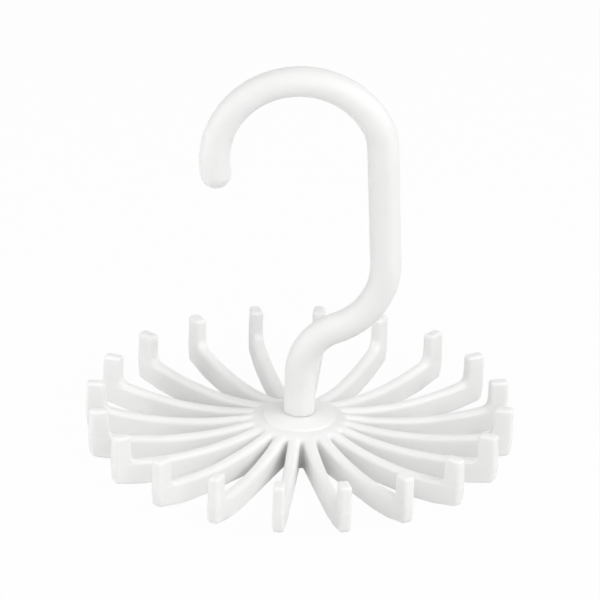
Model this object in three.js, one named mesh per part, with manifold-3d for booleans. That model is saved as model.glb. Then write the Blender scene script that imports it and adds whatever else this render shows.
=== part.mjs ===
// Rotating tie rack: a plastic hook that hangs on a closet rod and carries a wheel of twenty arms.
// Each arm ends in an upright finger that keeps a tie from sliding off. The wheel turns freely on the
// hook's journal, between the shoulder above it and a washer that a screw clamps to the journal's end.
//
// Lengths are in millimetres and angles in degrees. The underside of the wheel lies on z = 0, the
// wheel turns about the Z axis, and the hook lies in the XZ plane with its mouth towards -X.

import * as THREE from 'three';
import { mergeVertices } from 'three/addons/utils/BufferGeometryUtils.js';
import Module from 'manifold-3d';

const wasm = await Module();
wasm.setup();

// Wheel
const wheelDiameter = 135;
const wheelHeight = 18.4;
const armCount = 20;
const firstArmTurn = -4.8;

// Arms: upright bars whose top sags between the hub and the finger
const armThickness = 3.8;
const armEdgeRound = 0.7;
const armWaistHeight = 7.3;
const armTopRadius = 100;
const armFlatReach = 43.5;
const armUndersideRadius = 100;
const armRootDepth = 1.2;

// Fingers at the ends of the arms
const fingerBaseWidth = 6.2;
const fingerTopWidth = 5.5;
const fingerCornerRadius = 1.2;
const fingerRootFillet = 2.5;
const partingHeight = 7.9;
const heelSetback = 0.5;
const heelRadius = 1.9;

// Hub: a skirt and a boss under a plate that carries a low domed disc
const hubDiameter = 30.6;
const hubRimHeight = 10.3;
const hubPlateThickness = 2.8;
const hubSkirtWall = 2.4;
const hubBossWall = 2.8;
const discDiameter = 22.2;
const discStep = 0.3;
const discEdgeHeight = 11.3;
const discTopHeight = 13;
const seatDepth = 1;

// Hook: a round rod bent in one plane, named from the shank up to the tip
const rodDiameter = 9.7;
const tipDiameter = 9.8;
const shankLength = 14.25;
const neckBendRadius = 16.5;
const neckSlope = 20.6;
const elbowBendRadius = 23.1;
const legLean = 2.9;
const legLength = 38.9;
const shoulderBendRadius = 20.2;
const shoulderBendTurn = 29.9;
const crownBendRadius = 26.7;
const crownBendTurn = 158.2;

// Journal, washer and screw that hold the wheel on the hook
const journalDiameter = 6.4;
const runningGap = 0.3;
const washerOverhang = 1.9;
const washerThickness = 1;
const screwDiameter = 2.6;
const screwLength = 7;
const screwPointLength = 1.2;
const screwHeadDiameter = 5.6;
const screwHeadHeight = 2;
const screwHeadRound = 0.9;
const screwRecess = 0.7;
const driveLength = 3.2;
const driveWidth = 0.8;
const driveDepth = 1.1;

// Clearances between pieces and overruns of joined or cut shapes
const fitGap = 0.3;
const overrun = 0.5;

// Facets of the round shapes
const rodSides = 20;
const rodSteps = 72;
const hubSides = 80;
const smallSides = 32;
const cornerSteps = 3;
const longArcSteps = 7;

const wheelRadius = wheelDiameter / 2;
const hubRadius = hubDiameter / 2;
const rodRadius = rodDiameter / 2;
const journalRadius = journalDiameter / 2;
const boreRadius = journalRadius + runningGap;
const bossRadius = boreRadius + hubBossWall;
const washerBoreRadius = screwDiameter / 2 + fitGap;

// Heights of the stack under the hub, from the screw head upwards
const headTop = screwRecess + screwHeadHeight;
const journalEnd = headTop + washerThickness;
const bossEnd = journalEnd + runningGap;
const seatFloor = discTopHeight - seatDepth;
const shoulderHeight = seatFloor + runningGap;

const radians = THREE.MathUtils.degToRad;

const whitePlastic = { color: '#f3f3f2', roughness: 0.42, metalness: 0 };
const zincPlatedSteel = { color: '#b9bcc0', roughness: 0.35, metalness: 1 };

// Points on a circular arc about (x, y), with the angles in radians.
function arcPoints(x, y, radius, startAngle, endAngle, steps) {
  return Array.from({ length: steps + 1 }, (_, i) => {
    const angle = startAngle + ((endAngle - startAngle) * i) / steps;
    return new THREE.Vector2(x + radius * Math.cos(angle), y + radius * Math.sin(angle));
  });
}

// A closed manifold solid from a geometry, whose corners are merged by position alone. Triangles
// that have no width, as a lathe leaves on its axis, are dropped.
function solidFrom(geometry) {
  const bare = geometry.clone();
  bare.deleteAttribute('normal');
  bare.deleteAttribute('uv');
  const merged = mergeVertices(bare);
  const corners = merged.index.array;
  const kept = [];
  for (let i = 0; i < corners.length; i += 3) {
    const [a, b, c] = corners.slice(i, i + 3);
    if (a !== b && b !== c && c !== a) kept.push(a, b, c);
  }
  return new wasm.Manifold(new wasm.Mesh({
    numProp: 3,
    vertProperties: new Float32Array(merged.attributes.position.array),
    triVerts: new Uint32Array(kept),
  }));
}

function geometryFrom(solid) {
  const mesh = solid.getMesh();
  const geometry = new THREE.BufferGeometry();
  geometry.setAttribute('position', new THREE.BufferAttribute(mesh.vertProperties, 3));
  geometry.setIndex(new THREE.BufferAttribute(mesh.triVerts, 1));
  geometry.computeVertexNormals();
  return geometry;
}

function namedMesh(name, solid, look) {
  const mesh = new THREE.Mesh(geometryFrom(solid), new THREE.MeshStandardMaterial(look));
  mesh.name = name;
  return mesh;
}

// A solid of revolution about Z. The profile holds [radius, height] pairs, counter-clockwise.
function turned(profile, sides) {
  const points = profile.map(([radius, height]) => new THREE.Vector2(radius, height));
  return solidFrom(new THREE.LatheGeometry(points, sides).rotateX(Math.PI / 2));
}

// Centre of a small circle that lies at a given x inside a large arc and touches it from within.
function nestedCentre(x, smallRadius, arcX, arcY, arcRadius) {
  const drop = Math.sqrt((arcRadius - smallRadius) ** 2 - (x - arcX) ** 2);
  return { x, y: arcY - drop, angle: Math.atan2(-drop, x - arcX) };
}

// Outline of one arm and its finger, seen from the side: x is the distance from the wheel's axis
// and y the height. It runs clockwise along the top from the root, round the finger and back below.
function armOutline() {
  const rootRadius = hubRadius - armRootDepth;
  const sag = hubRimHeight - armWaistHeight;
  const waistRadius = hubRadius + Math.sqrt(sag * (2 * armTopRadius - sag));
  const topArcHeight = armWaistHeight + armTopRadius;
  const innerBase = wheelRadius - fingerBaseWidth;
  const taper = (fingerBaseWidth - fingerTopWidth) / 2;
  const right = Math.PI / 2;

  const rootAngle = Math.atan2(hubRimHeight - topArcHeight, hubRadius - waistRadius);
  const fillet = nestedCentre(
    innerBase - fingerRootFillet, fingerRootFillet, waistRadius, topArcHeight, armTopRadius);
  const heel = nestedCentre(
    wheelRadius - heelSetback - heelRadius, heelRadius,
    armFlatReach, armUndersideRadius, armUndersideRadius);
  const cornerHeight = wheelHeight - fingerCornerRadius;

  return [
    new THREE.Vector2(rootRadius, hubRimHeight),
    ...arcPoints(waistRadius, topArcHeight, armTopRadius, rootAngle, fillet.angle, longArcSteps),
    ...arcPoints(fillet.x, fillet.y, fingerRootFillet, fillet.angle, 0, cornerSteps).slice(1),
    ...arcPoints(innerBase + taper + fingerCornerRadius, cornerHeight,
      fingerCornerRadius, 2 * right, right, cornerSteps),
    ...arcPoints(wheelRadius - taper - fingerCornerRadius, cornerHeight,
      fingerCornerRadius, right, 0, cornerSteps),
    new THREE.Vector2(wheelRadius, partingHeight),
    ...arcPoints(heel.x, heel.y, heelRadius, 0, heel.angle, cornerSteps),
    ...arcPoints(armFlatReach, armUndersideRadius, armUndersideRadius,
      heel.angle, -right, cornerSteps).slice(1),
    new THREE.Vector2(rootRadius, 0),
  ];
}

// One arm with its finger, pointing along +X.
function armSolid(outline) {
  const geometry = new THREE.ExtrudeGeometry(new THREE.Shape(outline), {
    depth: armThickness - 2 * armEdgeRound,
    bevelThickness: armEdgeRound,
    bevelSize: armEdgeRound,
    bevelOffset: -armEdgeRound,
    bevelSegments: 2,
  });
  geometry.translate(0, 0, armEdgeRound - armThickness / 2);
  return solidFrom(geometry.rotateX(Math.PI / 2));
}

// The hub, open below round its boss, with a shallow seat for the hook's shoulder on top.
function hubSolid() {
  const seatRadius = rodRadius + runningGap;
  const plateUnderside = hubRimHeight - hubPlateThickness;
  const skirtInner = hubRadius - hubSkirtWall;
  const discRadius = discDiameter / 2;
  return turned([
    [boreRadius, bossEnd],
    [bossRadius, bossEnd],
    [bossRadius, plateUnderside],
    [skirtInner, plateUnderside],
    [skirtInner, 0],
    [hubRadius, 0],
    [hubRadius, hubRimHeight],
    [discRadius + discStep, discEdgeHeight - discStep],
    [discRadius, discEdgeHeight],
    [seatRadius, discTopHeight],
    [seatRadius, seatFloor],
    [boreRadius, seatFloor],
    [boreRadius, bossEnd],
  ], hubSides);
}

// The wheel is one moulding: the hub with its arms evenly round it, the first near -Y.
function wheelSolid() {
  const arm = armSolid(armOutline());
  let wheel = hubSolid();
  for (let i = 0; i < armCount; i += 1) {
    wheel = wheel.add(arm.rotate([0, 0, firstArmTurn - 90 + (360 / armCount) * i]));
  }
  return wheel;
}

// A circular bend in the XZ plane. Headings are counted from +X towards +Z, in radians.
class Bend extends THREE.Curve {
  constructor(start, heading, radius, turn) {
    super();
    this.heading = heading;
    this.turn = turn;
    this.reach = Math.sign(turn) * radius;
    this.centre = new THREE.Vector3(
      start.x - this.reach * Math.sin(heading), 0, start.z + this.reach * Math.cos(heading));
  }

  getPoint(t, target = new THREE.Vector3()) {
    const angle = this.heading + this.turn * t;
    return target.set(
      this.centre.x + this.reach * Math.sin(angle), 0, this.centre.z - this.reach * Math.cos(angle));
  }
}

// The hook's centreline, from the shoulder on the hub to the centre of the rounded tip.
function hookPath() {
  const path = new THREE.CurvePath();
  let point = new THREE.Vector3(0, 0, shoulderHeight);
  let heading = Math.PI / 2;
  const straight = (length) => {
    const along = new THREE.Vector3(Math.cos(heading), 0, Math.sin(heading));
    const end = point.clone().addScaledVector(along, length);
    path.add(new THREE.LineCurve3(point, end));
    point = end;
  };
  const bend = (radius, turn) => {
    const curve = new Bend(point, heading, radius, turn);
    path.add(curve);
    point = curve.getPoint(1);
    heading += turn;
  };
  straight(shankLength);
  bend(neckBendRadius, radians(neckSlope - 90));
  bend(elbowBendRadius, radians(90 + legLean - neckSlope));
  straight(legLength);
  bend(shoulderBendRadius, radians(shoulderBendTurn));
  bend(crownBendRadius, radians(crownBendTurn));
  return { path, tip: point };
}

// The hook: the bent rod, its rounded tip, and the journal with a pilot hole for the screw.
function hookSolid() {
  const { path, tip } = hookPath();
  const section = new THREE.Shape(arcPoints(0, 0, rodRadius, 0, 2 * Math.PI, rodSides).slice(1));
  const rod = new THREE.ExtrudeGeometry(section, { steps: rodSteps, extrudePath: path });
  const end = new THREE.SphereGeometry(tipDiameter / 2, rodSides, rodSides / 2);
  end.translate(tip.x, tip.y, tip.z);
  const pilotRadius = screwDiameter / 2 + fitGap;
  const pilotEnd = headTop + screwLength + fitGap;
  const journal = turned([
    [0, pilotEnd],
    [pilotRadius, pilotEnd],
    [pilotRadius, journalEnd],
    [journalRadius, journalEnd],
    [journalRadius, shoulderHeight + overrun],
    [0, shoulderHeight + overrun],
  ], smallSides);
  return solidFrom(rod).add(solidFrom(end)).add(journal);
}

function washerSolid() {
  const rim = boreRadius + washerOverhang;
  return turned([
    [washerBoreRadius, headTop],
    [rim, headTop],
    [rim, journalEnd],
    [washerBoreRadius, journalEnd],
    [washerBoreRadius, headTop],
  ], smallSides);
}

// A pan-head screw with a cross recess, pointing up. Its shank is drawn at the thread's core.
function screwSolid() {
  const headRadius = screwHeadDiameter / 2;
  const shankRadius = screwDiameter / 2;
  const shankEnd = headTop + screwLength;
  const headRound = arcPoints(headRadius - screwHeadRound, screwRecess + screwHeadRound,
    screwHeadRound, -Math.PI / 2, 0, cornerSteps).map((p) => [p.x, p.y]);
  const body = turned([
    [0, screwRecess],
    ...headRound,
    [headRadius, headTop],
    [shankRadius, headTop],
    [shankRadius, shankEnd - screwPointLength],
    [0, shankEnd],
  ], smallSides);
  const slot = new THREE.BoxGeometry(driveLength, driveWidth, driveDepth + overrun);
  slot.translate(0, 0, screwRecess + (driveDepth - overrun) / 2);
  const cut = solidFrom(slot);
  return body.subtract(cut).subtract(cut.rotate([0, 0, 90]));
}

const tieRack = new THREE.Group();
tieRack.add(
  namedMesh('hook', hookSolid(), whitePlastic),
  namedMesh('wheel', wheelSolid(), whitePlastic),
  namedMesh('retaining_washer', washerSolid(), zincPlatedSteel),
  namedMesh('retaining_screw', screwSolid(), zincPlatedSteel),
);

export default tieRack;
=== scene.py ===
"""Rotating tie rack: a plastic hook for a closet rod that carries a wheel of twenty arms.

The hook is one bent, round moulding. The wheel is one moulding too, a low domed hub with arms that
end in upright fingers, and turns on the hook's journal above a plated washer and screw. Sizes in
the classes are in millimetres, and only the finished meshes are in metres.
"""

import logging
import math
from dataclasses import dataclass, field
from enum import Enum
from typing import Any

import bmesh
import bpy
import numpy as np
from bpy.types import ID, Material, Node, NodeSocket, NodeTree, Object
from mathutils import Matrix, Vector


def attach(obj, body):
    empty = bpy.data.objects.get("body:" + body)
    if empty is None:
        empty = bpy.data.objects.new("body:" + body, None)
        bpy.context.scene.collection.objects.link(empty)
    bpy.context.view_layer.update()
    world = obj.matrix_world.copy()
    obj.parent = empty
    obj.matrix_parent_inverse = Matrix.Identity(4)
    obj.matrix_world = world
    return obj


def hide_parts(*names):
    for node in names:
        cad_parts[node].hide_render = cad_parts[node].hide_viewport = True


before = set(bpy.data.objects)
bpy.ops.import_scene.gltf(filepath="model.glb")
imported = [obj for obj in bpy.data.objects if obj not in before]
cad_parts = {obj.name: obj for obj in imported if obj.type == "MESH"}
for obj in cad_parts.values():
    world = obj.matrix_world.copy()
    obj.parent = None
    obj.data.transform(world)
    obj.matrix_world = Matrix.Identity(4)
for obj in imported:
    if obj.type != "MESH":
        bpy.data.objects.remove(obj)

MM = 0.001
WELD_MM = 0.002
EDGE_STEPS = 4  # steps of a small rounding
NEARLY_ALL_SHARE = 0.999  # most that a rounding takes of a stretch, so that their ends stay apart
WHITE = "#ffffff"
MIRROR_X = np.array([-1.0, 1.0, 1.0])  # takes points to the other side of the YZ plane
MIRROR_Y = np.array([1.0, -1.0, 1.0])  # takes points to the other side of the XZ plane

log = logging.getLogger("tie_rack")


class Body(Enum):
    """Rigid bodies of the rack that pieces ride on."""

    HOOK = "hook"
    WHEEL = "wheel"


class Slot(Enum):
    """Material slots of the record."""

    PLASTIC = "white_plastic"
    STEEL = "zinc_plated_steel"


# Small helpers for colours, nodes and meshes


def linear_colour(code: str) -> tuple[float, float, float, float]:
    """Turn an sRGB hex colour into Blender's linear values, by the sRGB standard's curve.

    Args:
        code: Colour as "#rrggbb".

    Returns:
        Linear red, green and blue, and an alpha of 1.
    """
    values = (int(code[i : i + 2], 16) / 255 for i in (1, 3, 5))
    red, green, blue = (v / 12.92 if v <= 0.04045 else ((v + 0.055) / 1.055) ** 2.4 for v in values)
    return red, green, blue, 1.0


def add_node(tree: NodeTree, kind: str, inputs: dict[Any, Any] | None = None, **settings: Any) -> Node:
    """Add a shader node with its settings, input values and links.

    Args:
        tree: Node tree that takes the node.
        kind: Blender's type name of the node.
        inputs: Values or output sockets by input name or number.
        settings: Properties of the node itself.

    Returns:
        The new node.
    """
    node = tree.nodes.new(kind)
    for name, value in settings.items():
        setattr(node, name, value)
    for name, value in (inputs or {}).items():
        if isinstance(value, NodeSocket):
            tree.links.new(value, node.inputs[name])
        else:
            node.inputs[name].default_value = value
    return node


def new_tree(name: str) -> tuple[Material, NodeTree]:
    """Make a material with an empty node tree.

    Args:
        name: Name of the material.

    Returns:
        The material and its node tree.
    """
    material = bpy.data.materials.new(name)
    material.use_nodes = True
    material.node_tree.nodes.clear()
    return material, material.node_tree


def seen_directly(tree: NodeTree) -> NodeSocket:
    """Tell light that is seen, mirrored or seen through glass from light that spreads.

    Args:
        tree: Node tree that takes the nodes.

    Returns:
        Output that is 1 for camera, glossy and transmission rays, and 0 for others.
    """
    rays = add_node(tree, "ShaderNodeLightPath").outputs
    shown = rays["Is Camera Ray"]
    for kind in ("Is Glossy Ray", "Is Transmission Ray"):
        shown = add_node(tree, "ShaderNodeMath", {0: shown, 1: rays[kind]}, operation="MAXIMUM").outputs[0]
    return shown


def object_millimetres(tree: NodeTree) -> NodeSocket:
    """Object coordinates in millimetres, for patterns whose sizes are real ones."""
    place = add_node(tree, "ShaderNodeTexCoord").outputs["Object"]
    return add_node(tree, "ShaderNodeMapping", {"Vector": place, "Scale": (1 / MM,) * 3}).outputs["Vector"]


def smooth_step(values: np.ndarray) -> np.ndarray:
    """Ease values from 0 to 1 by 3t^2 - 2t^3, clipped at both ends."""
    share = np.clip(values, 0.0, 1.0)
    return share * share * (3.0 - 2.0 * share)


def points_of(*coordinates: np.ndarray | float) -> np.ndarray:
    """Points on the last axis from their coordinates, each an array or one value for all."""
    return np.stack(np.broadcast_arrays(*coordinates), axis=-1)


def full_turn(count: int) -> np.ndarray:
    """Even angles round a whole turn in radians, without the closing one."""
    return np.arange(count) * (2 * math.pi / count)


def unit(vectors: np.ndarray) -> np.ndarray:
    """Scale vectors on the last axis to length 1."""
    return vectors / np.linalg.norm(vectors, axis=-1, keepdims=True)


def grid_faces(rows: int, columns: int, start: int, closed: bool) -> np.ndarray:
    """Quads between neighbouring rows and columns of a grid of points.

    Args:
        rows: Number of rows of points.
        columns: Number of points in a row.
        start: Number of the grid's first vertex.
        closed: Whether the last column joins the first.

    Returns:
        Vertex numbers, four to a quad.
    """
    number = start + np.arange(rows * columns).reshape(rows, columns)
    if closed:
        number = np.concatenate([number, number[:, :1]], axis=1)
    quads = np.stack([number[:-1, :-1], number[:-1, 1:], number[1:, 1:], number[1:, :-1]], axis=-1)
    return quads.reshape(-1, 4)


def linked_object(name: str, data: ID) -> Object:
    """Make an object from its mesh, lamp or camera and link it into the scene.

    Args:
        name: Name of the object.
        data: What the object shows.

    Returns:
        The object, at the origin.
    """
    item = bpy.data.objects.new(name, data)
    bpy.context.scene.collection.objects.link(item)
    return item


def solid_object(name: str, grids: list[tuple[np.ndarray, bool]]) -> Object:
    """Join grids of points into one closed mesh with outward faces.

    Neighbouring grids share their border points, which are welded. A row that is drawn together
    to one point becomes a pole of triangles.

    Args:
        name: Name of the new object.
        grids: Arrays of rows by columns by 3 in millimetres, each with whether its rows close.

    Returns:
        The object, at the origin, with its place in its mesh.
    """
    points, faces, start = [], [], 0
    for grid, closed in grids:
        rows, columns = grid.shape[:2]
        points.append(grid.reshape(-1, 3))
        faces.append(grid_faces(rows, columns, start, closed))
        start += rows * columns
    mesh = bpy.data.meshes.new(name)
    mesh.from_pydata((np.concatenate(points) * MM).tolist(), [], np.concatenate(faces).tolist())
    welder = bmesh.new()
    welder.from_mesh(mesh)
    bmesh.ops.remove_doubles(welder, verts=welder.verts, dist=WELD_MM * MM)
    bmesh.ops.recalc_face_normals(welder, faces=welder.faces)
    welder.to_mesh(mesh)
    welder.free()
    mesh.shade_smooth()
    item = linked_object(name, mesh)
    item.modifiers.new("Face weights", "WEIGHTED_NORMAL").keep_sharp = True
    return item


def dress(item: Object, material: Material) -> None:
    """Give a piece its finish."""
    item.data.materials.append(material)


def turned_grid(profile: np.ndarray, angles: np.ndarray) -> np.ndarray:
    """Turn a profile about Z: at angle a its point (r, z) goes to (r cos a, r sin a, z)."""
    radius, height = profile[:, :1], profile[:, 1:]
    return points_of(radius * np.cos(angles), radius * np.sin(angles), height)


def corner_arc(
    centre: tuple[float, float], radius: float, start: float, end: float, steps: int
) -> np.ndarray:
    """Points on a circular arc in a plane, from a start to an end angle in degrees."""
    angles = np.radians(np.linspace(start, end, steps + 1))
    return points_of(centre[0] + radius * np.cos(angles), centre[1] + radius * np.sin(angles))


def rounded_profile(*corners: tuple[float, float, float], steps: int = EDGE_STEPS) -> np.ndarray:
    """Round the corners of an open line of radius and height points.

    At a corner with tangent length t the line is cut t before and after it, and the cut is filled
    with the quadratic curve (1-s)^2 A + 2s(1-s) C + s^2 B from cut A by corner C to cut B.

    Args:
        corners: Radius, height and cut length of each corner; the ends keep a cut of 0.
        steps: Steps of each rounding.

    Returns:
        Points of the rounded line, one to a row.
    """
    line = np.array([(r, z) for r, z, _ in corners])
    out = [line[:1]]
    share = np.linspace(0.0, 1.0, steps + 1)[:, None]
    for i in range(1, len(line) - 1):
        cut, here = corners[i][2], line[i]
        if cut == 0:
            out.append(line[i : i + 1])
            continue
        before = here + unit(line[i - 1] - here) * cut
        after = here + unit(line[i + 1] - here) * cut
        out.append((1 - share) ** 2 * before + 2 * share * (1 - share) * here + share**2 * after)
    out.append(line[-1:])
    return np.concatenate(out)


# Finishes


@dataclass(frozen=True)
class Lumps:
    """Noise of a surface: how wide its lumps are, its finer layers, and how deep it goes."""

    width_mm: float
    layers: float
    depth_mm: float = 0.0

    @property
    def sizes(self) -> dict[str, float]:
        """Sizes as a noise node takes them, for coordinates in millimetres."""
        return {"Scale": 1 / self.width_mm, "Detail": self.layers}


@dataclass(frozen=True)
class MouldedPlastic:
    """Injection-moulded polypropylene, satin white.

    It is soft to the eye: light enters it a little way, so shadows have no hard edge, and the
    fine-etched mould leaves a broad, dull highlight with a slight waviness where it cooled.
    """

    name: str
    colour: str = "#f4f4f3"
    shade: str = "#eeeeed"
    roughness: tuple[float, float] = (0.40, 0.50)
    ior: float = 1.49
    mottle: Lumps = Lumps(14.0, 3.0)
    wave: Lumps = Lumps(7.0, 1.0, 0.02)
    # The etched grain is 0.1 mm wide and is drawn coarser, so that it shows
    grain: Lumps = Lumps(0.6, 2.0, 0.0025)
    bleed_mm: float = 2.2
    bleed_share: float = 0.7
    bleed_tint_shares: tuple[float, float, float] = (1.0, 1.0, 0.95)
    seam_height_mm: float | None = None
    seam_width_mm: float = 0.5
    seam_depth_mm: float = 0.12
    seam_reach_mm: float = 67.0  # distance from the axis at which the seam is at its height
    seam_rise: float = 0.17
    seam_fade_mm: tuple[float, float] = (50.0, 60.0)

    def make(self) -> Material:
        """Build the material.

        Returns:
            The finished material.
        """
        material, tree = new_tree(self.name)
        in_mm = object_millimetres(tree)
        mottle, wave, grain = (
            add_node(tree, "ShaderNodeTexNoise", {"Vector": in_mm, **lumps.sizes}).outputs[0]
            for lumps in (self.mottle, self.wave, self.grain)
        )
        shades = {0: mottle, 6: linear_colour(self.colour), 7: linear_colour(self.shade)}
        tint = add_node(tree, "ShaderNodeMix", shades, data_type="RGBA")
        spread = {0: grain, "To Min": self.roughness[0], "To Max": self.roughness[1]}
        rough = add_node(tree, "ShaderNodeMapRange", spread)
        heights = [(wave, self.wave.depth_mm), (grain, self.grain.depth_mm)]
        if self.seam_height_mm is not None:
            heights.append((self._seam(tree, in_mm), self.seam_depth_mm))
        bent: dict[str, Any] = {}
        for height, depth_mm in heights:
            inputs = {"Height": height, "Distance": depth_mm * MM, **bent}
            bent = {"Normal": add_node(tree, "ShaderNodeBump", inputs).outputs[0]}
        surface = {
            "Base Color": tint.outputs[2],
            "Roughness": rough.outputs[0],
            "IOR": self.ior,
            "Subsurface Weight": self.bleed_share,
            "Subsurface Radius": self.bleed_tint_shares,
            "Subsurface Scale": self.bleed_mm * MM,
            **bent,
        }
        shader = add_node(tree, "ShaderNodeBsdfPrincipled", surface).outputs[0]
        add_node(tree, "ShaderNodeOutputMaterial", {"Surface": shader})
        return material

    def _seam(self, tree: NodeTree, in_mm: NodeSocket) -> NodeSocket:
        """Draw the ledge where the mould's halves met, whose lower half stands out.

        The seam climbs a little outwards along each arm, and dies away towards the hub.

        Args:
            tree: Node tree that takes the nodes.
            in_mm: Object coordinates in millimetres.

        Returns:
            Output that is 1 on the lower half, and 0 on the upper half and near the hub.
        """
        level = add_node(tree, "ShaderNodeSeparateXYZ", {0: in_mm}).outputs["Z"]
        flat = {0: in_mm, 1: (1.0, 1.0, 0.0)}
        plan = add_node(tree, "ShaderNodeVectorMath", flat, operation="MULTIPLY").outputs[0]
        reach = add_node(tree, "ShaderNodeVectorMath", {0: plan}, operation="LENGTH").outputs["Value"]
        climb = {0: reach, 1: -self.seam_rise, 2: level}
        sunk = add_node(tree, "ShaderNodeMath", climb, operation="MULTIPLY_ADD").outputs[0]
        seam = self.seam_height_mm - self.seam_rise * self.seam_reach_mm
        step = {
            0: sunk,
            "From Min": seam - self.seam_width_mm / 2,
            "From Max": seam + self.seam_width_mm / 2,
            "To Min": 1.0,
            "To Max": 0.0,
        }
        ledge = add_node(tree, "ShaderNodeMapRange", step, interpolation_type="SMOOTHSTEP").outputs[0]
        fade = {0: reach, "From Min": self.seam_fade_mm[0], "From Max": self.seam_fade_mm[1]}
        shown = add_node(tree, "ShaderNodeMapRange", fade).outputs[0]
        return add_node(tree, "ShaderNodeMath", {0: ledge, 1: shown}, operation="MULTIPLY").outputs[0]


@dataclass(frozen=True)
class PlatedSteel:
    """Steel, barrel-plated with bright zinc.

    The tumbled plating gives the eye a cool grey metal with faint cloudy patches and fine rub
    marks that blur the highlights.
    """

    name: str
    colour: str = "#c9ccd0"
    patch: str = "#b4b8be"
    roughness: tuple[float, float] = (0.24, 0.40)
    cloud: Lumps = Lumps(1.8, 4.0)
    rub: Lumps = Lumps(0.12, 2.0, 0.0015)
    rub_turn: float = 0.6
    rub_stretch: float = 14.0

    def make(self) -> Material:
        """Build the material.

        Returns:
            The finished material.
        """
        material, tree = new_tree(self.name)
        in_mm = object_millimetres(tree)
        along = {"Rotation": (0.0, 0.0, self.rub_turn), "Scale": (1.0, 1 / self.rub_stretch, 1.0)}
        stretched = add_node(tree, "ShaderNodeMapping", {"Vector": in_mm, **along}).outputs["Vector"]
        cloud, rubs = (
            add_node(tree, "ShaderNodeTexNoise", {"Vector": place, **lumps.sizes}).outputs[0]
            for lumps, place in ((self.cloud, in_mm), (self.rub, stretched))
        )
        shades = {0: cloud, 6: linear_colour(self.colour), 7: linear_colour(self.patch)}
        tint = add_node(tree, "ShaderNodeMix", shades, data_type="RGBA")
        spread = {0: cloud, "To Min": self.roughness[0], "To Max": self.roughness[1]}
        rough = add_node(tree, "ShaderNodeMapRange", spread)
        bent = add_node(tree, "ShaderNodeBump", {"Height": rubs, "Distance": self.rub.depth_mm * MM})
        surface = {
            "Base Color": tint.outputs[2],
            "Metallic": 1.0,
            "Roughness": rough.outputs[0],
            "Normal": bent.outputs[0],
        }
        shader = add_node(tree, "ShaderNodeBsdfPrincipled", surface).outputs[0]
        add_node(tree, "ShaderNodeOutputMaterial", {"Surface": shader})
        return material


@dataclass(frozen=True)
class SweepPaper:
    """Matt white background paper.

    It gives the eye an even white that hides the floor's end, with only a faint shadow under the
    rack, while the light it throws up brightens the undersides.
    """

    name: str = "Matt white paper"
    colour: str = "#ececec"
    white_share: float = 0.96

    def make(self) -> Material:
        """Build the material: mostly plain white where it is seen, and lit paper for all else.

        Returns:
            The finished material.
        """
        material, tree = new_tree(self.name)
        seen = {0: seen_directly(tree), 1: self.white_share}
        white = add_node(tree, "ShaderNodeMath", seen, operation="MULTIPLY").outputs[0]
        paper = add_node(tree, "ShaderNodeBsdfDiffuse", {"Color": linear_colour(self.colour)}).outputs[0]
        plain = add_node(tree, "ShaderNodeEmission", {"Color": linear_colour(WHITE)}).outputs[0]
        surface = add_node(tree, "ShaderNodeMixShader", {0: white, 1: paper, 2: plain}).outputs[0]
        add_node(tree, "ShaderNodeOutputMaterial", {"Surface": surface})
        return material


# Sub-assemblies


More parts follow.
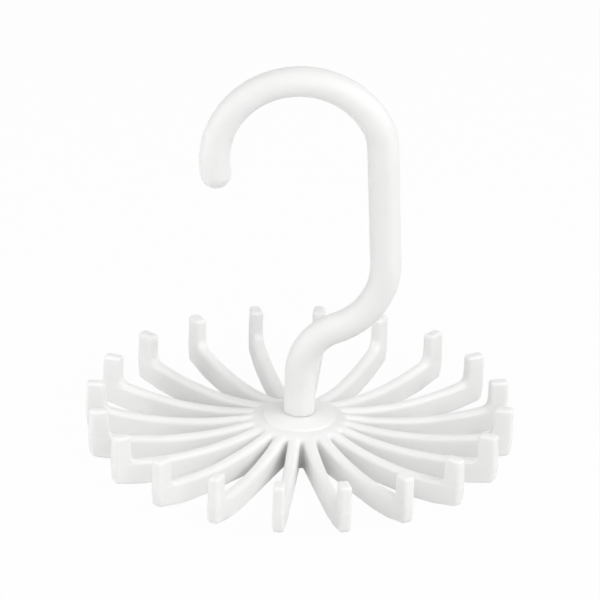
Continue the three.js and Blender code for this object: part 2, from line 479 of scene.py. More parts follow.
@dataclass
class Hook:
    """The bent round hook, with the journal that the wheel turns on."""

    shoulder: float = 12.3
    shank_length: float = 14.25
    neck_radius: float = 16.5
    neck_slope: float = 20.6
    elbow_radius: float = 23.1
    leg_lean: float = 2.9
    leg_length: float = 38.9
    shoulder_radius: float = 20.2
    shoulder_turn: float = 29.9
    crown_radius: float = 26.7
    crown_turn: float = 158.2
    rod_radius: float = 4.85
    shank_edge: float = 0.35
    journal_radius: float = 3.2
    journal_end: float = 3.7
    journal_edge: float = 0.3
    journal_root: float = 0.2
    pilot_radius: float = 1.6
    pilot_end: float = 10.0
    pilot_root: float = 0.2
    pilot_edge: float = 0.25
    seam_height: float = 0.06
    seam_width: float = 0.45
    seam_foot_share: float = 0.75
    seam_start: float = 2.0
    seam_ease: float = 3.0
    sides: int = 64
    ring_pitch: float = 1.3
    tip_rings: int = 14
    swell_samples: int = 400
    swell_ease_samples: int = 41
    # Shares of the hook's length, and the rod's radius there less the nominal one
    swell_shares: tuple[float, ...] = (0.0, 0.10, 0.24, 0.34, 0.50, 0.60, 0.72, 0.80, 0.92, 0.97, 1.0)
    swell: tuple[float, ...] = (0.0, -0.05, -0.12, -0.02, 0.02, 0.12, -0.08, -0.18, -0.20, -0.02, 0.03)

    def pieces_of_path(self) -> list[tuple[float, float, float]]:
        """Length, bend radius and turn of each stretch of the centreline, from the shank up.

        Returns:
            One row for each stretch: length, radius (0 where straight) and turn in radians.
        """
        bends = [
            (self.neck_radius, self.neck_slope - 90.0),
            (self.elbow_radius, 90.0 + self.leg_lean - self.neck_slope),
            (self.shoulder_radius, self.shoulder_turn),
            (self.crown_radius, self.crown_turn),
        ]
        curved = [(r * math.radians(abs(turn)), r, math.radians(turn)) for r, turn in bends]
        shank, leg = (self.shank_length, 0.0, 0.0), (self.leg_length, 0.0, 0.0)
        return [shank, *curved[:2], leg, *curved[2:]]

    def centreline(self) -> tuple[np.ndarray, np.ndarray, np.ndarray]:
        """Points, headings and distances along the centreline in the XZ plane.

        A straight stretch adds length times its heading. A bend of radius R that has turned by a
        goes from heading h to h + a about a centre at R to the side.

        Returns:
            Points (x, z), headings in radians from +X towards +Z, and distances from the shoulder.
        """
        points, headings, distances = [], [], []
        start, heading, gone = np.array([0.0, self.shoulder]), math.pi / 2, 0.0
        for length, radius, turn in self.pieces_of_path():
            steps = max(2, round(length / self.ring_pitch))
            share = np.linspace(0.0, 1.0, steps + 1)
            if not points:
                share = share * (1 - self.shank_edge / length) + self.shank_edge / length
            now = heading + turn * share
            if radius:
                reach = math.copysign(radius, turn)
                centre = start + reach * np.array([-math.sin(heading), math.cos(heading)])
                here = centre + reach * points_of(np.sin(now), -np.cos(now))
            else:
                along = np.array([math.cos(heading), math.sin(heading)])
                here = start + length * share[:, None] * along
            first = 1 if points else 0
            points.append(here[first:])
            headings.append(now[first:])
            distances.append((gone + length * share)[first:])
            start, heading, gone = here[-1], heading + turn, gone + length
        return np.concatenate(points), np.concatenate(headings), np.concatenate(distances)

    def section_angles(self) -> np.ndarray:
        """Angles round the rod, closer together at the two mould seams at 0 and 180 degrees.

        Returns:
            Angles in radians.
        """
        edge = self.seam_width / self.rod_radius
        near_shares = np.array([-1.0, -0.5, 0.0, 0.5])
        wide = np.linspace(edge, math.pi - edge, self.sides // 2 - len(near_shares) + 1)[:-1]
        half = np.concatenate([near_shares * edge, wide])
        return np.concatenate([half, half + math.pi])

    def swell_at(self, shares: np.ndarray) -> np.ndarray:
        """Change of the rod's radius: its table, eased by a moving raised-cosine average.

        Args:
            shares: Shares of the hook's length.

        Returns:
            Changes of the radius there.
        """
        fine_shares = np.linspace(0.0, 1.0, self.swell_samples)
        weights = np.hanning(self.swell_ease_samples)
        change = np.interp(fine_shares, self.swell_shares, self.swell)
        padded = np.pad(change, self.swell_ease_samples // 2, mode="edge")
        eased = np.convolve(padded, weights / weights.sum(), mode="valid")
        return np.interp(shares, fine_shares, eased)

    def rod_rings(self, angles: np.ndarray) -> np.ndarray:
        """Rings of the rod and its rounded tip.

        The ring at distance s lies square to the centreline, at radius r(s) plus the seam ridge,
        which is trimmed off near the wheel. Past the end the rings follow a dome: forward by
        r sin b and drawn in to r cos b.

        Args:
            angles: Angles round the rod, 0 on the outer side of the first bend.

        Returns:
            Grid of rings by angles by 3.
        """
        points, headings, distances = self.centreline()
        radii = self.rod_radius + self.swell_at(distances / distances[-1])
        lean = np.linspace(0.0, math.pi / 2, self.tip_rings + 1)[1:]
        ahead = radii[-1] * np.sin(lean)
        forward = np.array([math.cos(headings[-1]), math.sin(headings[-1])])
        points = np.concatenate([points, points[-1] + ahead[:, None] * forward])
        headings = np.concatenate([headings, np.full(len(lean), headings[-1])])
        grown_share = smooth_step((distances - self.seam_start) / self.seam_ease)
        ridge_share = np.concatenate([grown_share, np.cos(lean)])
        radii = np.concatenate([radii, radii[-1] * np.cos(lean)])
        off = np.abs(np.angle(np.exp(2j * angles))) / 2 * self.rod_radius
        ridge = self.seam_height * smooth_step(1 - off / (self.seam_width * self.seam_foot_share))
        reach = radii[:, None] + ridge_share[:, None] * ridge[None, :]
        side = points_of(-np.sin(headings), np.cos(headings))
        in_plane = reach * np.cos(angles)
        across, up = points[:, :1] + in_plane * side[:, :1], points[:, 1:] + in_plane * side[:, 1:]
        return points_of(across, reach * np.sin(angles), up)

    def journal_rings(self, angles: np.ndarray) -> np.ndarray:
        """Rings from the end of the pilot hole, round the journal, to the shank's lower edge.

        The heading of the shank is +Z, so angle 0 of a ring points to -X.

        Args:
            angles: Angles round the rod.

        Returns:
            Grid of rings by angles by 3.
        """
        profile = rounded_profile(
            (0.0, self.pilot_end + self.pilot_radius, 0.0),
            (self.pilot_radius, self.pilot_end, self.pilot_root),
            (self.pilot_radius, self.journal_end, self.pilot_edge),
            (self.journal_radius, self.journal_end, self.journal_edge),
            (self.journal_radius, self.shoulder, self.journal_root),
            (self.rod_radius, self.shoulder, self.shank_edge * NEARLY_ALL_SHARE),
            (self.rod_radius, self.shoulder + self.shank_edge, 0.0),
        )
        return turned_grid(profile, angles) * MIRROR_X

    def build(self) -> Object:
        """Build the hook's surface.

        Returns:
            The hook, riding on its own body and standing for its CAD solid.
        """
        angles = self.section_angles()
        rod = self.rod_rings(angles)
        foot = self.journal_rings(angles)
        foot[-1] = rod[0]
        item = solid_object("hook_moulding", [(np.concatenate([foot[:-1], rod]), True)])
        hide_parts("hook")
        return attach(item, Body.HOOK.value)

    def finish(self, item: Object) -> None:
        """Dress the hook in white plastic."""
        dress(item, MouldedPlastic("Satin white polypropylene, hook").make())


@dataclass
class ArmSizes:
    """Sizes of one arm and of the upright finger at its end."""

    half_width: float = 1.9
    waist_height: float = 7.45
    top_radius: float = 100.0
    flat_reach: float = 43.5
    underside_radius: float = 100.0
    finger_base: float = 6.2
    finger_top: float = 5.85
    corner_radius: float = 0.95
    root_fillet: float = 2.5
    widest_height: float = 7.9
    seam_height: float = 9.5
    heel_setback: float = 0.5
    heel_radius: float = 1.9
    top_edge: float = 1.6
    finger_edge: float = 1.1
    finger_edge_start: float = 1.2
    finger_edge_ease: float = 3.0
    lower_edge: float = 0.65
    heel_ease_start: float = 57.5
    side_draft: float = 0.004
    ease_length: float = 5.0


@dataclass
class Wheel:
    """The wheel: a domed hub, and arms with fingers evenly round it."""

    radius: float = 67.5
    height: float = 18.4
    arm_count: int = 20
    first_turn: float = -4.8
    hub_radius: float = 15.3
    rim_height: float = 10.45
    ring_start: float = 11.55
    ring_start_height: float = 10.9
    ring_start_slope: float = -0.16
    disc_step: float = 0.7
    disc_edge_radius: float = 10.9
    disc_edge_height: float = 11.6
    disc_top_height: float = 13.0
    disc_bulge_share: float = 0.4
    seat_radius: float = 4.855
    seat_edge: float = 0.01
    seat_floor: float = 12.0
    seat_fillet: float = 0.15
    bore_radius: float = 3.5
    bore_edge: float = 0.2
    boss_radius: float = 6.3
    boss_edge: float = 0.3
    boss_end: float = 4.0
    plate_underside: float = 7.5
    skirt_inner: float = 12.9
    skirt_edge: float = 0.35
    inner_fillet: float = 0.7
    valley_reach: float = 1.8
    valley_depth: float = 1.6
    join_radius: float = 18.0
    join_blend: float = 2.0
    corner_start: float = 56.0
    straight_rings: int = 22
    corner_rings: int = 24
    finger_rings: int = 6
    cap_rings: int = 5
    line_columns: int = 3
    ring_columns: int = 6
    rim_columns: int = 3
    step_rings: int = 5
    dome_rings: int = 11
    bend_steps: int = 12
    fillet_approach_points: int = 5
    heel_approach_points: int = 9
    low_flat_steps: int = 2
    low_edge_steps: int = 4
    wall_steps: int = 7
    top_edge_steps: int = 6
    top_flat_steps: int = 3
    arm: ArmSizes = field(default_factory=ArmSizes)

    # Outline of an arm

    @property
    def waist_radius(self) -> float:
        """Distance from the axis at which an arm is lowest on top."""
        sag = self.rim_height - self.arm.waist_height
        return self.hub_radius + math.sqrt(sag * (2 * self.arm.top_radius - sag))

    def top_height(self, reach: np.ndarray) -> np.ndarray:
        """Height of the top at a distance from the axis, from the disc's foot outwards.

        Beyond the hub it is the arm's sagging arc. Within it, a cubic runs from the foot of the
        disc to the arc, with a given slope at the foot and the arc's slope at the rim.

        Args:
            reach: Distances from the axis.

        Returns:
            Heights.
        """
        centre = self.arm.waist_height + self.arm.top_radius
        arc = centre - np.sqrt(self.arm.top_radius**2 - (reach - self.waist_radius) ** 2)
        span = self.hub_radius - self.ring_start
        share = np.clip((reach - self.ring_start) / span, 0.0, 1.0)
        drop = self.hub_radius - self.waist_radius
        rim_slope = drop / math.sqrt(self.arm.top_radius**2 - drop**2)
        cubic = (
            (2 * share**3 - 3 * share**2 + 1) * self.ring_start_height
            + (share**3 - 2 * share**2 + share) * span * self.ring_start_slope
            + (3 * share**2 - 2 * share**3) * self.rim_height
            + (share**3 - share**2) * span * rim_slope
        )
        return np.where(reach < self.hub_radius, cubic, arc)

    def under_height(self, reach: np.ndarray) -> np.ndarray:
        """Height of an arm's underside: flat near the hub, then a wide arc upwards."""
        beyond = np.maximum(reach - self.arm.flat_reach, 0.0)
        return self.arm.underside_radius - np.sqrt(self.arm.underside_radius**2 - beyond**2)

    def _bend(self, reach: float, radius: float, arc: tuple[float, float, float]) -> np.ndarray:
        """Bend from a wide arc to upright, round a small circle that touches the arc from inside.

        The circles' centres are as far apart as their radii differ.

        Args:
            reach: Distance of the small circle's centre from the axis.
            radius: Radius of the small circle.
            arc: Distance from the axis, height and radius of the wide arc.

        Returns:
            Points from where the circles touch to the small one's outermost point.
        """
        arc_reach, arc_height, arc_radius = arc
        drop = math.sqrt((arc_radius - radius) ** 2 - (reach - arc_reach) ** 2)
        touch = math.degrees(math.atan2(-drop, reach - arc_reach))
        return corner_arc((reach, arc_height - drop), radius, touch, 0.0, self.bend_steps)

    def outline(self) -> tuple[np.ndarray, np.ndarray]:
        """Upper and lower line of the arm, from the join with the hub to the finger's corners.

        Both are lists of (distance from axis, height) with the same number of points, so that a
        section spans each pair: upright across the arm and level across the finger.

        Returns:
            The upper and the lower line.
        """
        arm = self.arm
        inner = self.radius - arm.finger_base
        taper = (arm.finger_base - arm.finger_top) / 2
        cap = self.height - arm.corner_radius
        straight = np.linspace(self.join_radius, self.corner_start, self.straight_rings + 1)
        upper_straight = points_of(straight, self.top_height(straight))
        lower_straight = points_of(straight, self.under_height(straight))

        top_arc = (self.waist_radius, arm.waist_height + arm.top_radius, arm.top_radius)
        fillet = self._bend(inner - arm.root_fillet, arm.root_fillet, top_arc)
        approach = np.linspace(self.corner_start, fillet[0, 0], self.fillet_approach_points + 1)[:-1]
        upper_path = np.concatenate([points_of(approach, self.top_height(approach)), fillet])
        heel_reach = self.radius - arm.heel_setback - arm.heel_radius
        under_arc = (arm.flat_reach, arm.underside_radius, arm.underside_radius)
        heel = self._bend(heel_reach, arm.heel_radius, under_arc)
        approach = np.linspace(self.corner_start, heel[0, 0], self.heel_approach_points + 1)[:-1]

        up = np.linspace(fillet[-1, 1], cap, self.finger_rings + 1)
        drawn_in = taper * (up - arm.widest_height) / (cap - arm.widest_height)
        inner_face = points_of(inner + taper * (up - up[0]) / (cap - up[0]), up)
        outer_face = points_of(self.radius - drawn_in, up)
        widest = [[self.radius, arm.widest_height]]
        lower_path = np.concatenate(
            [points_of(approach, self.under_height(approach)), heel, widest, outer_face[:1]]
        )
        upper_corner = self._resampled(upper_path, self.corner_rings)[1:]
        lower_corner = self._resampled(lower_path, self.corner_rings)[1:]
        upper = np.concatenate([upper_straight, upper_corner, inner_face[1:]])
        lower = np.concatenate([lower_straight, lower_corner, outer_face[1:]])
        return upper, lower

    @staticmethod
    def _resampled(path: np.ndarray, steps: int) -> np.ndarray:
        """Points at even distances along a line of points.

        Args:
            path: Points of the line, one to a row.
            steps: Number of steps from the first point to the last.

        Returns:
            The new points, one to a row.
        """
        gaps = np.linalg.norm(np.diff(path, axis=0), axis=1)
        gone = np.concatenate([[0.0], np.cumsum(gaps)])
        even = np.linspace(0.0, gone[-1], steps + 1)
        return points_of(*(np.interp(even, gone, coordinate) for coordinate in path.T))

    # Sections

    def section_shares(self) -> np.ndarray:
        """Table that places the points of half a section, from the middle below to the top.

        A point lies on the lower flat, lower edge, wall, upper edge or upper flat. At angle b of
        an edge it is 1 - cos b of the edge's radius deep, and 1 - sin b of it in from the wall.

        Returns:
            A row for each point, of six shares: of the way up from the lower line to the upper
            one, of the lower and the upper edge's radius deep, of both radii in from the wall,
            and of the way out on a flat.
        """
        low = np.radians(np.linspace(0.0, 90.0, self.low_edge_steps + 1))[1:]
        top = np.radians(np.linspace(90.0, 0.0, self.top_edge_steps + 1))
        out_share = np.linspace(0.0, 1.0, self.low_flat_steps + 1)
        up_share = np.linspace(0.0, 1.0, self.wall_steps + 1)[1:-1]
        in_share = np.linspace(1.0, 0.0, self.top_flat_steps + 1)[1:]
        return np.concatenate(
            [
                points_of(0.0, 0.0, 0.0, 1.0, 0.0, out_share),
                points_of(0.0, 1 - np.cos(low), 0.0, 1 - np.sin(low), 0.0, 1.0),
                points_of(up_share, 1.0, 1.0, 0.0, 0.0, 1.0),
                points_of(1.0, 0.0, 1 - np.cos(top), 0.0, 1 - np.sin(top), 1.0),
                points_of(1.0, 0.0, 0.0, 0.0, 1.0, in_share),
            ]
        )

    def arm_grid(self) -> np.ndarray:
        """Surface of an arm and its finger along +X, open at the join with the hub.

        The section at a station runs from the lower line L to the upper line U. Its edges are
        quarter rounds: at angle b the point is inset from the line by e(1 - cos b) along the
        line's inward normal and lies at w - e + e sin b from the middle plane, e being the edge's
        radius and w the half width. Above the last station the section and its edges shrink by
        the same rule into the finger's rounded top.

        Returns:
            Grid of stations by points round the section by 3.
        """
        arm = self.arm
        upper, lower = self.outline()
        upper_in, lower_in = self._inward(upper, -1.0), self._inward(lower, 1.0)
        eased_share = smooth_step((upper[:, :1] - self.join_radius) / arm.ease_length)
        upper_in = unit(upper_in * eased_share + np.array([0.0, -1.0]) * (1 - eased_share))
        risen = upper[:, 1] - arm.waist_height - arm.finger_edge_start
        at_finger = upper[:, 0] >= self.corner_start
        raised_share = np.where(at_finger, smooth_step(risen / arm.finger_edge_ease), 0.0)
        heeled_share = smooth_step((lower[:, 0] - arm.heel_ease_start) / arm.ease_length)
        upper_edge = arm.top_edge + (arm.finger_edge - arm.top_edge) * raised_share
        lower_edge = arm.lower_edge + (arm.finger_edge - arm.lower_edge) * heeled_share
        width = np.full(len(upper), arm.half_width)

        lean = np.linspace(0.0, math.pi / 2, self.cap_rings + 1)[1:]
        inset, rise = arm.corner_radius * (1 - np.cos(lean)), arm.corner_radius * np.sin(lean)
        upper = np.concatenate([upper, upper[-1] + points_of(inset, rise)])
        lower = np.concatenate([lower, lower[-1] + points_of(-inset, rise)])
        upper_in = np.concatenate([upper_in, np.tile([[1.0, 0.0]], (len(lean), 1))])
        lower_in = np.concatenate([lower_in, np.tile([[-1.0, 0.0]], (len(lean), 1))])
        upper_edge = np.concatenate([upper_edge, upper_edge[-1] * np.cos(lean)])
        lower_edge = np.concatenate([lower_edge, lower_edge[-1] * np.cos(lean)])
        width = np.concatenate([width, arm.half_width - arm.finger_edge * (1 - np.cos(lean))])

        shares = self.section_shares()
        up_share, low_deep_share, top_deep_share, low_in_share, top_in_share, out_share = shares.T
        below = lower[:, None] + lower_in[:, None] * np.outer(lower_edge, low_deep_share)[..., None]
        above = upper[:, None] + upper_in[:, None] * np.outer(upper_edge, top_deep_share)[..., None]
        places = below * (1 - up_share)[:, None] + above * up_share[:, None]
        gap = np.outer(lower_edge, low_in_share) + np.outer(upper_edge, top_in_share)
        offsets = (width[:, None] - gap) * out_share

        tapered_share = smooth_step((places[..., 0] - self.join_radius) / arm.ease_length)
        draft = arm.side_draft * np.abs(places[..., 1] - arm.widest_height) * tapered_share
        left = points_of(places[..., 0], offsets * (1 - draft / arm.half_width), places[..., 1])
        return np.concatenate([left, left[:, ::-1][:, 1:-1] * MIRROR_Y], axis=1)

    @staticmethod
    def _inward(line: np.ndarray, side: float) -> np.ndarray:
        """Unit normals of a line of points, to its left (side 1) or right (side -1)."""
        along = np.gradient(line, axis=0)
        return unit(points_of(-along[:, 1], along[:, 0])) * side

    def cap_grid(self, arm_grid: np.ndarray) -> np.ndarray:
        """Flat top of the finger: the last section's two halves, joined point by point."""
        half = arm_grid[-1, : arm_grid.shape[1] // 2 + 1]
        return np.stack([half, half * MIRROR_Y])

    def hub_grid(self) -> np.ndarray:
        """Half a sector of the hub, from the middle of an arm to the middle of the next gap.

        In plan, the wall runs along the arm's side, then round the gap's end on an arc about C.
        A point inset by a from the wall lies at w - a beside the arm, or at radius g + a about C.
        Up the section the points are the same as the arm's, so that the two join. The flats
        above and below run on from the inset line to the arm's middle and the hub's rings.

        Returns:
            Grid of stations by points of half a section by 3.
        """
        arm, half_pitch = self.arm, math.pi / self.arm_count
        sine, cosine = math.sin(half_pitch), math.cos(half_pitch)
        gap_centre = (self.hub_radius - arm.half_width) / (1 - sine)
        gap_radius = gap_centre * sine - arm.half_width
        centre = gap_centre * np.array([cosine, sine])
        line = np.linspace(self.join_radius, centre[0], self.line_columns + 1)
        turns = self.ring_columns + self.rim_columns
        bend = np.linspace(-math.pi / 2, -math.pi + half_pitch, turns + 1)[1:]
        rim = np.linspace(0.0, half_pitch, self.rim_columns + 1)[1:]
        bend_ways = points_of(np.cos(bend), np.sin(bend))
        rim_ways = points_of(np.cos(rim), np.sin(rim))

        def inset(amount: np.ndarray) -> np.ndarray:
            """Points inside the wall by given amounts, beside the arm and then round the gap's end."""
            beside = points_of(line, arm.half_width - amount[: len(line)])
            return np.concatenate([beside, centre + (gap_radius + amount[len(line) :])[:, None] * bend_ways])

        def middle(ring: float) -> np.ndarray:
            """Points along the arm's middle to a ring about the axis, and then on that ring."""
            reach = np.concatenate([line, np.linspace(centre[0], ring, self.ring_columns + 1)[1:]])
            return np.concatenate([points_of(reach, 0.0), ring * rim_ways])

        def top_at(plan: np.ndarray) -> np.ndarray:
            """Height of the top, by distance along the arm at the join and from the axis within it."""
            inner_share = smooth_step((self.join_radius - plan[:, 0]) / self.join_blend)
            return self.top_height(plan[:, 0] + (np.linalg.norm(plan, axis=-1) - plan[:, 0]) * inner_share)

        round_share = smooth_step(np.concatenate([np.zeros(len(line)), np.arange(1, turns + 1) / turns]))
        low = np.full(len(round_share), arm.lower_edge)
        wide = arm.top_edge + (self.valley_reach - arm.top_edge) * round_share
        deep = arm.top_edge + (self.valley_depth - arm.top_edge) * round_share
        low_middle, top_middle = middle(self.skirt_inner + self.skirt_edge), middle(self.ring_start)
        columns: list[np.ndarray] = []
        for shares in self.section_shares():
            up_share, low_deep_share, top_deep_share, low_in_share, top_in_share, out_share = shares
            inner = top_middle if up_share == 1 else low_middle
            plan = inner * (1 - out_share) + inset(low * low_in_share + wide * top_in_share) * out_share
            top = top_at(plan) - deep * top_deep_share
            height = low * low_deep_share * (1 - up_share) + top * up_share
            columns.append(points_of(plan[:, 0], plan[:, 1], height))
        return np.stack(columns, axis=1)

    def centre_profile(self) -> np.ndarray:
        """Radius and height from the foot of the disc over it and through the hub's hollow.

        Returns:
            Points of the turned surface, from the ring above to the skirt's lower edge.
        """
        out_share = np.linspace(0.0, 1.0, self.step_rings + 1)
        step_reach = self.ring_start + (self.disc_edge_radius - self.ring_start) * out_share
        edge = points_of(step_reach, self.ring_start_height + self.disc_step * smooth_step(out_share))
        in_share = np.linspace(0.0, 1.0, self.dome_rings + 1)[1:]
        seat_edge = self.seat_radius + 2 * self.seat_edge
        bulged_share = in_share * (1 + self.disc_bulge_share) - self.disc_bulge_share * in_share**2
        dome_reach = self.disc_edge_radius + (seat_edge - self.disc_edge_radius) * in_share
        dome_height = self.disc_edge_height + (self.disc_top_height - self.disc_edge_height) * bulged_share
        dome = points_of(dome_reach, dome_height)
        inside = rounded_profile(
            (*dome[-1], 0.0),
            (self.seat_radius, self.disc_top_height, self.seat_edge),
            (self.seat_radius, self.seat_floor, self.seat_fillet),
            (self.bore_radius, self.seat_floor, self.bore_edge),
            (self.bore_radius, self.boss_end, self.bore_edge),
            (self.boss_radius, self.boss_end, self.boss_edge),
            (self.boss_radius, self.plate_underside, self.inner_fillet),
            (self.skirt_inner, self.plate_underside, self.inner_fillet),
            (self.skirt_inner, 0.0, self.skirt_edge * NEARLY_ALL_SHARE),
            (self.skirt_inner + self.skirt_edge, 0.0, 0.0),
        )
        return np.concatenate([edge, dome, inside[1:]])

    def build(self) -> Object:
        """Build the wheel's surface.

        Returns:
            The wheel, riding on its own body and standing for its CAD solid.
        """
        arm = self.arm_grid()
        half = self.hub_grid()
        sector = [(arm, True), (self.cap_grid(arm), False), (half, False), (half * MIRROR_Y, False)]
        grids: list[tuple[np.ndarray, bool]] = []
        for i in range(self.arm_count):
            angle = math.radians(self.first_turn - 90.0 + 360.0 / self.arm_count * i)
            cosine, sine = math.cos(angle), math.sin(angle)
            turn = np.array([[cosine, sine, 0.0], [-sine, cosine, 0.0], [0.0, 0.0, 1.0]])
            grids.extend((grid @ turn, closed) for grid, closed in sector)
        angles = math.radians(self.first_turn) + full_turn(2 * self.rim_columns * self.arm_count)
        grids.append((turned_grid(self.centre_profile(), angles), True))
        item = solid_object("wheel_moulding", grids)
        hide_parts("wheel")
        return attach(item, Body.WHEEL.value)

    def finish(self, item: Object) -> None:
        """Dress the wheel in white plastic, with the mould's seam low round the fingers."""
        plastic = MouldedPlastic("Satin white polypropylene, wheel", seam_height_mm=self.arm.seam_height)
        dress(item, plastic.make())


@dataclass
class Washer:
    """The pressed washer that keeps the wheel on the journal."""

    bore_radius: float = 1.6
    rim_radius: float = 5.4
    underside: float = 2.7
    top: float = 3.7
    pressed_edge: float = 0.25
    burr_edge: float = 0.08
    turns: int = 96

    def build(self) -> Object:
        """Build the washer: rounded edges below, where the press went in, and sharper ones above.

        Returns:
            The washer, riding on the hook's body and standing for its CAD solid.
        """
        middle = (self.underside + self.top) / 2
        profile = rounded_profile(
            (self.bore_radius, middle, 0.0),
            (self.bore_radius, self.underside, self.pressed_edge),
            (self.rim_radius, self.underside, self.pressed_edge),
            (self.rim_radius, self.top, self.burr_edge),
            (self.bore_radius, self.top, self.burr_edge),
            (self.bore_radius, middle, 0.0),
        )
        item = solid_object("washer_pressing", [(turned_grid(profile, full_turn(self.turns)), True)])
        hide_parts("retaining_washer")
        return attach(item, Body.HOOK.value)

    def finish(self, item: Object) -> None:
        """Dress the washer in plated steel."""
        dress(item, PlatedSteel("Bright zinc-plated steel, washer").make())


@dataclass
class Screw:
    """The self-tapping pan-head screw that clamps the washer to the journal's end."""

    head_bottom: float = 0.7
    head_radius: float = 2.8
    head_top: float = 2.7
    head_round: float = 0.9
    head_round_steps: int = 8
    head_edge: float = 0.15
    neck_length: float = 0.3
    neck_fillet: float = 0.1
    shank_radius: float = 1.3
    thread_radius: float = 1.55
    thread_pitch: float = 1.1
    thread_run_in: float = 0.6
    crest_half_share: float = 0.22
    length: float = 7.0
    point_length: float = 1.2
    recess_reach: float = 1.6
    recess_half_width: float = 0.42
    recess_depth: float = 1.1
    recess_narrowing_share: float = 0.25
    recess_end_share: float = 0.5
    recess_wall: float = 0.14
    recess_wall_share: float = 0.4
    turns: int = 96
    head_rings: int = 36
    thread_rings: int = 84

    def recess(self, plan: np.ndarray) -> np.ndarray:
        """Depth of the cross recess at points of the head.

        The distance into a wing is the wing's half width, which narrows outwards, less the
        point's offset from the wing's middle line, cut off at the wing's end. The walls drop
        along a smooth step.

        Args:
            plan: Points (x, y) on the last axis.

        Returns:
            Depths, 0 outside the recess.
        """
        x, y = np.abs(plan[..., 0]), np.abs(plan[..., 1])
        along, aside = np.maximum(x, y), np.minimum(x, y)
        half_width = self.recess_half_width * (1 - self.recess_narrowing_share * along / self.recess_reach)
        into = np.minimum(half_width - aside, (self.recess_reach - along) * self.recess_end_share)
        return self.recess_depth * smooth_step(into / self.recess_wall + self.recess_wall_share)

    def build(self) -> Object:
        """Build the screw's surface.

        The head is a turned profile whose rings near the axis sink into the recess. The thread
        is a turned core whose radius swells to the crest once in each pitch of the helix.

        Returns:
            The screw, riding on the hook's body and standing for its CAD solid.
        """
        angles = full_turn(self.turns)
        face_reach, bend_height = self.head_radius - self.head_round, self.head_bottom + self.head_round
        flat = points_of(np.linspace(0.0, face_reach, self.head_rings), self.head_bottom)
        side = corner_arc((face_reach, bend_height), self.head_round, -90.0, 0.0, self.head_round_steps)
        start, end = self.head_top + self.neck_length, self.head_top + self.length
        rim = rounded_profile(
            (self.head_radius, bend_height, 0.0),
            (self.head_radius, self.head_top, self.head_edge),
            (self.shank_radius, self.head_top, self.neck_fillet),
            (self.shank_radius, start, 0.0),
            steps=EDGE_STEPS - 1,
        )
        head = turned_grid(np.concatenate([flat, side[1:], rim[1:]]), angles)
        head[..., 2] += self.recess(head[..., :2]) * (head[..., 2] < self.head_top - self.head_round)

        height = np.linspace(start, end, self.thread_rings)[:, None]
        phase = height / self.thread_pitch - angles / (2 * math.pi)
        crest_share = np.clip(1 - np.abs((phase % 1.0) - 0.5) / self.crest_half_share, 0.0, 1.0)
        grown_share = smooth_step((height - start) / self.thread_run_in)
        point_share = np.clip((end - height) / self.point_length, 0.0, 1.0)
        standing = (self.thread_radius - self.shank_radius) * crest_share * grown_share
        reach = (self.shank_radius + standing) * point_share
        thread = points_of(reach * np.cos(angles), reach * np.sin(angles), height)
        item = solid_object("screw_pan_head", [(np.concatenate([head, thread[1:]]), True)])
        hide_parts("retaining_screw")
        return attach(item, Body.HOOK.value)

    def finish(self, item: Object) -> None:
        """Dress the screw in plated steel."""
        dress(item, PlatedSteel("Bright zinc-plated steel, screw").make())


# Studio


@dataclass(frozen=True)
class Softbox:
    """A square soft lamp that faces the rack."""

    name: str
    azimuth: float
    elevation: float
    watts: float
    distance: float = 1800.0
    size: float = 900.0

    def build(self, target: Vector) -> None:
        """Place the lamp on a sphere about its target.

        Args:
            target: Point that it faces, in metres.
        """
        data = bpy.data.lights.new(self.name, "AREA")
        data.shape = "SQUARE"
        data.size = self.size * MM
        data.energy = self.watts
        around, up = math.radians(self.azimuth), math.radians(self.elevation)
        level = math.cos(up)
        aim = Vector((level * math.cos(around), level * math.sin(around), math.sin(up)))
        lamp = linked_object(self.name, data)
        lamp.location = target + aim * self.distance * MM
        lamp.rotation_euler = aim.to_track_quat("Z", "Y").to_euler()


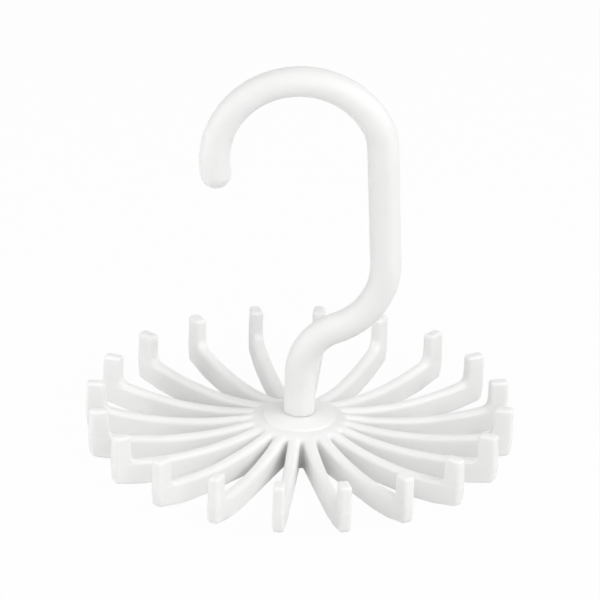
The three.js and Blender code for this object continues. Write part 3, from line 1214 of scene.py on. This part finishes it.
@dataclass
class Studio:
    """Camera, lamps, world and the paper floor that the rack stands on in the photograph."""

    elevation: float = 24.95
    distance: float = 2723.0
    target: tuple[float, float, float] = (-0.80, 0.0, 51.28)
    lean: float = -0.0296
    lens: float = 522.05
    floor_height: float = -0.2
    floor_half: float = 3000.0
    fill: str = "#9a9a9a"
    softboxes: tuple[Softbox, ...] = (
        Softbox("Key softbox, right", -27.0, 40.0, 8.7, size=500.0),
        Softbox("Front softbox", -62.0, 40.0, 5.2, size=500.0),
        Softbox("Low front softbox", -78.0, 20.0, 3.6),
        Softbox("Front softbox, left", -120.0, 45.0, 2.1),
        # Stands close, so that its light falls off across the wheel
        Softbox("Low softbox, left", -165.0, 10.0, 0.42, distance=380.0, size=260.0),
        Softbox("High softbox, right", 8.0, 32.0, 5.3),
        Softbox("High softbox, left", 180.0, 45.0, 4.0),
    )

    def camera(self) -> None:
        """Place the camera at the photograph's angle, looking along +Y and down."""
        cosine, sine = math.cos(math.radians(self.elevation)), math.sin(math.radians(self.elevation))
        forward, up = Vector((0.0, cosine, -sine)), Vector((0.0, sine, cosine))
        right = Vector((1.0, 0.0, 0.0))
        cosine, sine = math.cos(self.lean), math.sin(self.lean)
        axes = Matrix((right * cosine - up * sine, right * sine + up * cosine, -forward)).transposed()
        data = bpy.data.cameras.new("Camera")
        data.lens = self.lens
        camera = linked_object("Camera", data)
        place = Vector(self.target) - forward * self.distance
        camera.matrix_world = Matrix.Translation(place * MM) @ axes.to_4x4()
        bpy.context.scene.camera = camera

    def world(self) -> None:
        """Light the scene evenly with grey, which the camera and reflections see as white."""
        world = bpy.data.worlds.new("Studio")
        bpy.context.scene.world = world
        world.use_nodes = True
        tree = world.node_tree
        tree.nodes.clear()
        fill = {0: seen_directly(tree), 6: linear_colour(self.fill), 7: linear_colour(WHITE)}
        colour = add_node(tree, "ShaderNodeMix", fill, data_type="RGBA").outputs[2]
        back = add_node(tree, "ShaderNodeBackground", {"Color": colour}).outputs[0]
        add_node(tree, "ShaderNodeOutputWorld", {"Surface": back})

    def floor(self) -> None:
        """Lay the paper floor just under the wheel."""
        half, level = self.floor_half * MM, self.floor_height * MM
        corners = [(x * half, y * half, level) for x, y in ((-1, -1), (1, -1), (1, 1), (-1, 1))]
        mesh = bpy.data.meshes.new("Floor")
        mesh.from_pydata(corners, [], [(0, 1, 2, 3)])
        mesh.materials.append(SweepPaper().make())
        floor = linked_object("Floor", mesh)

    def build(self) -> None:
        """Set up everything round the rack."""
        target = Vector(self.target) * MM
        self.camera()
        self.world()
        self.floor()
        for softbox in self.softboxes:
            softbox.build(target)
        bpy.context.scene.view_settings.view_transform = "Standard"


def main() -> None:
    logging.basicConfig(level=logging.INFO, format="%(name)s: %(message)s")
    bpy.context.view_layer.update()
    for part in (Hook(), Wheel(), Washer(), Screw()):
        item = part.build()
        part.finish(item)
        log.info("%s: %d faces, %s", item.name, len(item.data.polygons), item.data.materials[0].name)
    Studio().build()


if __name__ == "__main__":
    main()
